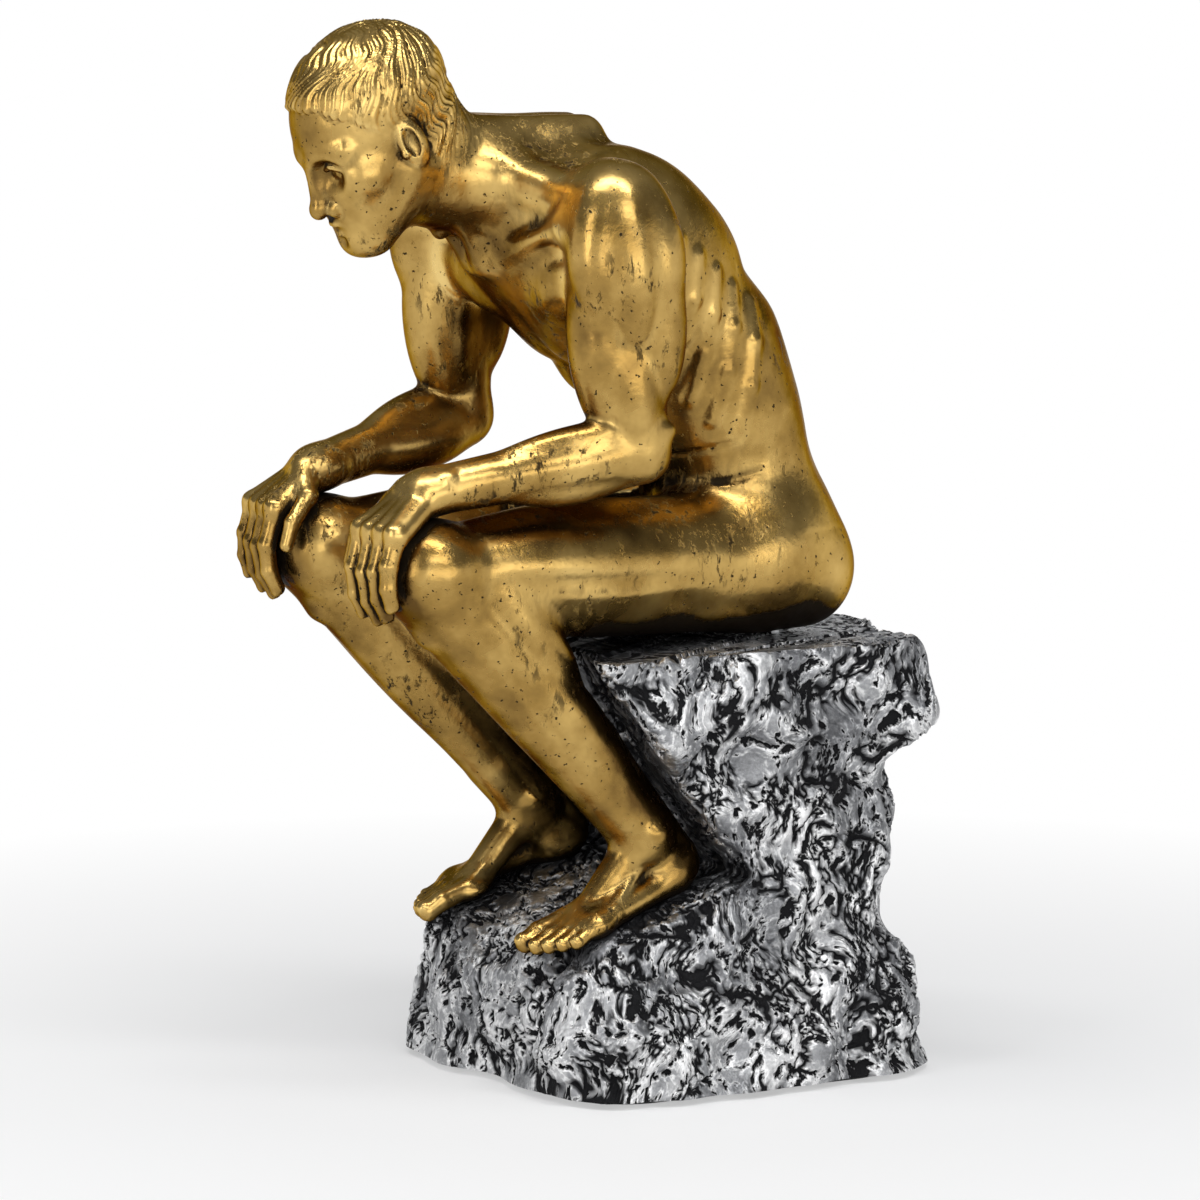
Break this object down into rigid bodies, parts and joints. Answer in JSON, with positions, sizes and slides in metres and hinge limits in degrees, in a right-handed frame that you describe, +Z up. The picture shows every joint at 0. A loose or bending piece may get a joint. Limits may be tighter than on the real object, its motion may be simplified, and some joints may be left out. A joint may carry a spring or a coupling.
{
  "type": "resin figurine",
  "caption": "Table ornament: a gilt man in a lap cloth sits forward on a rough silver rock, hands over the knees and feet on a ledge, with felt under the base.",
  "frame": {"origin": "middle of the footprint, on the surface that the ornament stands on", "axes": "+Z up; the figure faces -Y and its left side is +X"},
  "size_m": [0.111, 0.1507, 0.2503],
  "materials": {
    "gold_resin": "cast resin with a satin antique-gold metallic coat and a dark wash in the hollows",
    "silver_resin": "rough cast resin with a silver metallic coat and a near-black wash in the hollows",
    "felt": "thin dense felt",
    "steel": "plain drawn rod"
  },
  "bodies": {
    "root": {"rock_base": "silver_resin", "felt_pad": "felt", "torso": "gold_resin", "head": "gold_resin", "lap_cloth": "gold_resin", "left_leg": "gold_resin", "right_leg": "gold_resin", "left_arm": "gold_resin", "right_arm": "gold_resin", "neck_dowel": "steel", "left_shoulder_dowel": "steel", "right_shoulder_dowel": "steel", "left_hip_dowel": "steel", "right_hip_dowel": "steel", "left_seat_dowel": "steel", "right_seat_dowel": "steel", "left_foot_pin": "steel", "right_foot_pin": "steel"}
  },
  "joints": []
}
